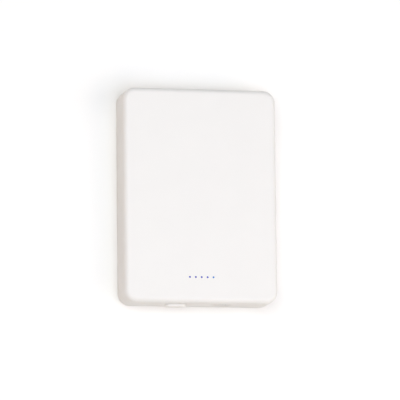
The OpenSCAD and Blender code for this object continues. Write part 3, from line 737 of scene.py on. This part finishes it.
def make_port_tongue():
    """Moulded tongue with a rounded front edge on a stepped base that closes the back of the port."""
    low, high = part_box("usb_insulator")
    at = middle("usb_contacts")
    base_y = high.y - BASE_L
    base_w, base_h = PORT_W - 2 * PORT_METAL - BASE_GAP, PORT_H - 2 * PORT_METAL - BASE_GAP
    shape = bmesh.new()
    loft(shape, [pill_ring(at, base_w, base_h, y) for y in (base_y, high.y)])
    base = finish_mesh(shape, "port_tongue")
    half_w = TONGUE_W / 2
    for half_h, front, edge in ((STEP_T / 2, base_y - STEP_L, STEP_EDGE),
                                (TONGUE_T / 2, low.y, TONGUE_EDGE)):
        part = bmesh.new()
        rings = []
        for sine, cosine in reversed(quarter_turn(TONGUE_STEPS)):
            inset = edge * (1 - cosine)
            rings.append(flat_ring(at, half_w - inset, half_h - inset, front + edge * (1 - sine)))
        rings.append(flat_ring(at, half_w, half_h, base_y + BASE_OVERLAP))
        loft(part, rings)
        carve(base, finish_mesh(part, "step"), "UNION")
    dress(base, "case", "port_plastic", "usb_insulator")


def flat_ring(at, half_w, half_h, y):
    """Rectangle in the plane of the port end."""
    return [(at.x - half_w, y, at.z - half_h), (at.x + half_w, y, at.z - half_h),
            (at.x + half_w, y, at.z + half_h), (at.x - half_w, y, at.z + half_h)]


# ---------- parts on the boards ----------

def solids_of(node):
    """Lowest and highest corners of each separate solid in a CAD node, from the port end and the left on."""
    shape = bmesh.new()
    shape.from_mesh(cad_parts[node].data)
    bmesh.ops.remove_doubles(shape, verts=shape.verts, dist=SOLID_WELD)
    boxes = []
    unseen = set(shape.verts)
    while unseen:
        island = [unseen.pop()]
        for vert in island:
            for edge in vert.link_edges:
                other = edge.other_vert(vert)
                if other in unseen:
                    unseen.remove(other)
                    island.append(other)
        points = [vert.co for vert in island]
        boxes.append((Vector([min(point[i] for point in points) for i in range(3)]),
                      Vector([max(point[i] for point in points) for i in range(3)])))
    shape.free()
    return sorted(boxes, key=lambda box: (round(box[0].y, 6), round(box[0].x, 6)))


def soft_block(shape, low, high, corner, edge):
    """Closed block with rounded upright corners and a rounded upper edge."""
    centre = (low + high) / 2
    size = high - low
    heights = [(0, low.z)]
    heights += [(edge * (1 - cosine), high.z - edge * (1 - sine))
                for sine, cosine in quarter_turn(BLOCK_EDGE_STEPS)]
    rings = []
    for inset, z in heights:
        corners = outline(size.x - 2 * inset, size.y - 2 * inset, corner, BLOCK_CORNER_STEPS)
        rings.append([(centre.x + x, centre.y + y, z) for x, y in corners])
    loft(shape, rings)


def make_packages(node, name, pad_pitch, pads):
    """Moulded chip bodies with a dimple at pin one; their pads go into the shared mesh of tinned pads."""
    bodies = bmesh.new()
    dimples = bmesh.new()
    for low, high in solids_of(node):
        inner_low, inner_high = low + PAD_REACH, high - PAD_REACH
        inner_low.z, inner_high.z = low.z, high.z
        soft_block(bodies, inner_low, inner_high, PACKAGE_CORNER, PACKAGE_EDGE)
        radius = min(DIMPLE_R, (high.x - low.x) * DIMPLE_R_SHARE)
        x, y = low.x + 3 * radius, high.y - 3 * radius
        turns = [FULL_TURN * i / DIMPLE_SIDES for i in range(DIMPLE_SIDES)]
        loft(dimples, [[(x + radius * math.cos(turn), y + radius * math.sin(turn), z) for turn in turns]
                       for z in (high.z - DIMPLE_DEPTH, high.z + DIMPLE_TOP)])
        for axis in (0, 1):
            add_pads(pads, low, high, axis, pad_pitch)
    body = finish_mesh(bodies, name)
    carve(body, finish_mesh(dimples, "dimples"))
    dress(body, "case", "chip_epoxy", node)


def add_pads(shape, low, high, axis, pitch):
    """Row of small pads on the two sides across this axis (0 for x, 1 for y)."""
    along = 1 - axis
    room = high[along] - low[along] - pitch
    count = max(1, int(room / pitch))
    half_w = pitch * PAD_W_SHARE / 2
    centre = (low + high) / 2
    for side in (-1, 1):
        for i in range(count):
            pad_low, pad_high = end_box(low, high, axis, side, PAD_L)
            offset = (i - (count - 1) / 2) * pitch
            pad_low[along] = centre[along] + offset - half_w
            pad_high[along] = centre[along] + offset + half_w
            pad_high.z = low.z + PAD_H
            box_into(shape, pad_low, pad_high)


def end_box(low, high, axis, side, length):
    """The piece of a box this long, at its lower (side -1) or higher (side 1) end along an axis."""
    end_low, end_high = Vector(low), Vector(high)
    if side < 0:
        end_high[axis] = low[axis] + length
    else:
        end_low[axis] = high[axis] - length
    return end_low, end_high


def make_end_capped(node, name, slot, ends):
    """Small two-ended parts; their tinned end caps go into the shared mesh of ends."""
    bodies = bmesh.new()
    for low, high in solids_of(node):
        skin = min(END_SKIN, (high.z - low.z) * END_SKIN_SHARE)
        axis = 0 if high.x - low.x >= high.y - low.y else 1
        cap = (high[axis] - low[axis]) * END_SHARE
        inner_low = low + Vector((skin, skin, 0))
        inner_high = high - Vector((skin, skin, skin))
        soft_block(bodies, inner_low, inner_high, skin, skin)
        for side in (-1, 1):
            end_low, end_high = end_box(low, high, axis, side, cap)
            soft_block(ends, end_low, end_high, END_EDGE_SHARE * skin, END_EDGE_SHARE * skin)
    dress(finish_mesh(bodies, name), "case", slot, node)


def make_crystal():
    """Metal can of the crystal: a thin flange below a drawn lid."""
    low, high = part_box("crystal")
    shape = bmesh.new()
    rim = Vector((CRYSTAL_FLANGE, CRYSTAL_FLANGE, 0))
    flange_high = Vector((high.x, high.y, low.z + CRYSTAL_FLANGE))
    soft_block(shape, low, flange_high, CRYSTAL_FLANGE_CORNER, CRYSTAL_FLANGE_EDGE)
    can = finish_mesh(shape, "crystal_can")
    lid = bmesh.new()
    soft_block(lid, low + rim, high - rim, CRYSTAL_LID_CORNER, CRYSTAL_LID_EDGE)
    carve(can, finish_mesh(lid, "lid"), "UNION")
    dress(can, "case", "bright_steel", "crystal")


def make_small_parts():
    """Everything soldered on the boards that gets a finer mesh."""
    pads = bmesh.new()
    for node, name, pitch in (("controller_chips", "controller_packages", FINE_PITCH),
                              ("power_transistors", "transistor_packages", WIDE_PITCH),
                              ("protection_chips", "protection_packages", WIDE_PITCH)):
        make_packages(node, name, pitch, pads)
    dress(finish_mesh(pads, "package_pads"), "case", "tinned_wire")
    ends = bmesh.new()
    for node, name, slot in (("resonance_capacitors", "resonance_capacitor_bodies", "capacitor_ceramic"),
                             ("bulk_capacitors", "bulk_capacitor_bodies", "bulk_resin"),
                             ("small_capacitors", "small_capacitor_bodies", "capacitor_ceramic"),
                             ("sense_resistors", "sense_resistor_bodies", "resistor_ceramic")):
        make_end_capped(node, name, slot, ends)
    dress(finish_mesh(ends, "tinned_ends"), "case", "tinned_wire")
    make_crystal()


# ---------- switch dome ----------

def make_dome():
    """Thin domed spring behind the plunger, which flattens as the button is pressed."""
    low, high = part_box("switch_dome")
    centre = (low + high) / 2
    radius = (high.x - low.x) / 2
    rise = high.y - low.y
    ball = (radius ** 2 + rise ** 2) / (2 * rise)
    rings = []
    for ball_radius, inner in ((ball - DOME_T, True), (ball, False)):
        widest = math.acos((ball - rise) / ball_radius)
        turns = [DOME_TIP + (widest - DOME_TIP) * step / DOME_RINGS for step in range(DOME_RINGS + 1)]
        for turn in turns if inner else reversed(turns):
            reach = ball_radius * math.sin(turn)
            y = high.y - ball_radius * math.cos(turn) + ball - rise
            rings.append([(centre.x + reach * math.cos(a), y, centre.z + reach * math.sin(a))
                          for a in (FULL_TURN * i / DOME_SIDES for i in range(DOME_SIDES))])
    shape = bmesh.new()
    loft(shape, rings)
    dome = finish_mesh(shape, "dome_spring")
    dress(dome, "case", "contact_gold", "switch_dome")
    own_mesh(dome)


make_shell()
make_button()
make_dome()
make_port_shell()
make_port_tongue()
make_small_parts()


# ---------- floor ----------

FLOOR_R = 7.0
FLOOR_SIDES = 96
FLOOR_DROP = 0.02 * MM
FLOOR_DARK = (0.965, 0.96, 0.94)
FLOOR_BRIGHT = (0.975, 0.97, 0.95)
FLOOR_GLOW = 0.95

# The floor's own light starts and is whole at these distances from the part, in millimetres
GLOW_START = 180
GLOW_WHOLE = 900


def make_floor():
    """Wide pale sheet that the part lies on, lit from below away from the part as on a light table."""
    material, tree, shader = new_material("floor_paper")
    fibres = noise(tree, 0.4, 3)
    link(tree, tint(tree, spread(tree, fibres, 0, 1), FLOOR_DARK, FLOOR_BRIGHT), shader, "Base Color")
    away = add(tree, "ShaderNodeVectorMath", {"operation": "LENGTH"}, i0=place(tree)).outputs["Value"]
    link(tree, spread(tree, away, 0, FLOOR_GLOW, GLOW_START, GLOW_WHOLE), shader, "Emission Strength")
    shader.inputs["Emission Color"].default_value = (1, 1, 1, 1)
    shader.inputs["Roughness"].default_value = 0.9
    shader.inputs["Specular IOR Level"].default_value = 0.1
    mesh = bpy.data.meshes.new("floor")
    shape = bmesh.new()
    bmesh.ops.create_circle(shape, cap_ends=True, segments=FLOOR_SIDES, radius=FLOOR_R)
    bmesh.ops.translate(shape, verts=shape.verts, vec=(0, 0, -FLOOR_DROP))
    shape.to_mesh(mesh)
    shape.free()
    mesh.materials.append(material)
    floor = bpy.data.objects.new("floor", mesh)
    bpy.context.scene.collection.objects.link(floor)


# ---------- light ----------

ROOM = (0.012, 0.011, 0.01)

# Name, place in metres, side length in metres, power in watts and colour of each soft box
SOFT_BOXES = [
    ("overhead", (-0.3, 0.1, 1.0), 1.0, 9.05, (0.965, 0.991, 0.991)),
    ("overhead_right", (0.35, -0.2, 0.9), 0.9, 2.39, (0.806, 0.782, 1.0)),
    ("left_fill", (-1.0, 0.0, 0.35), 0.8, 1.15, (1.0, 0.36, 0.02)),
    ("right", (0.7, -0.2, 0.6), 0.7, 3.25, (1.0, 0.885, 0.76)),
    ("front", (0.1, -0.7, 0.6), 0.7, 1.83, (1.0, 0.745, 0.483)),
    ("near_front", (0.0, -0.35, 0.8), 0.6, 0.87, (0.05, 0.55, 1.0)),
]


def soft_box(name, place_at, size, power, colour):
    """Square area light of this size, turned to the part."""
    data = bpy.data.lights.new(name, "AREA")
    data.shape = "SQUARE"
    data.size = size
    data.energy = power
    data.color = colour
    lamp = bpy.data.objects.new(name, data)
    lamp.location = place_at
    lamp.rotation_mode = "QUATERNION"
    lamp.rotation_quaternion = Vector(place_at).to_track_quat("Z", "Y")
    bpy.context.scene.collection.objects.link(lamp)


def make_room_light():
    """Faint warm light from the whole room, with a plain white backdrop for the camera."""
    world = bpy.data.worlds.new("room")
    bpy.context.scene.world = world
    world.use_nodes = True
    tree = world.node_tree
    tree.nodes.clear()
    glow = add(tree, "ShaderNodeBackground", Color=(*ROOM, 1), Strength=1.0)
    seen = add(tree, "ShaderNodeBackground", Color=(1, 1, 1, 1), Strength=1.0)
    camera_ray = add(tree, "ShaderNodeLightPath").outputs["Is Camera Ray"]
    mixed = add(tree, "ShaderNodeMixShader", i0=camera_ray, i1=glow.outputs[0], i2=seen.outputs[0])
    add(tree, "ShaderNodeOutputWorld", Surface=mixed.outputs[0])


# ---------- camera ----------

# Lens and sensor are in millimetres, the rest in metres; AIM goes from the shell's middle to the aim point
LENS = 362.6
SENSOR = 36
NEAREST = 0.1
FARTHEST = 50
AIM = Vector((1.46, -0.87, 0)) * MM
VIEW_FROM = Vector((-0.226, -0.153, 1)).normalized()
VIEW_DISTANCE = 1.78
ROLL = math.radians(-0.65)


def make_camera():
    """Long lens almost straight above the front face, a little to its left and to the port end."""
    data = bpy.data.cameras.new("camera")
    data.lens = LENS
    data.sensor_width = SENSOR
    data.clip_start = NEAREST
    data.clip_end = FARTHEST
    camera = bpy.data.objects.new("camera", data)
    target = (shell_low + shell_high) / 2 + AIM
    up = (Vector((0, 1, 0)) - VIEW_FROM * VIEW_FROM.y).normalized()
    right = up.cross(VIEW_FROM)
    rolled_right = right * math.cos(ROLL) + up * math.sin(ROLL)
    rolled_up = up * math.cos(ROLL) - right * math.sin(ROLL)
    turn = Matrix((rolled_right, rolled_up, VIEW_FROM)).transposed()
    camera.matrix_world = Matrix.Translation(target + VIEW_FROM * VIEW_DISTANCE) @ turn.to_4x4()
    bpy.context.scene.collection.objects.link(camera)
    bpy.context.scene.camera = camera


bpy.context.scene.view_settings.view_transform = "Standard"
make_floor()
make_room_light()
for name, place_at, size, power, colour in SOFT_BOXES:
    soft_box(name, place_at, size, power, colour)
make_camera()
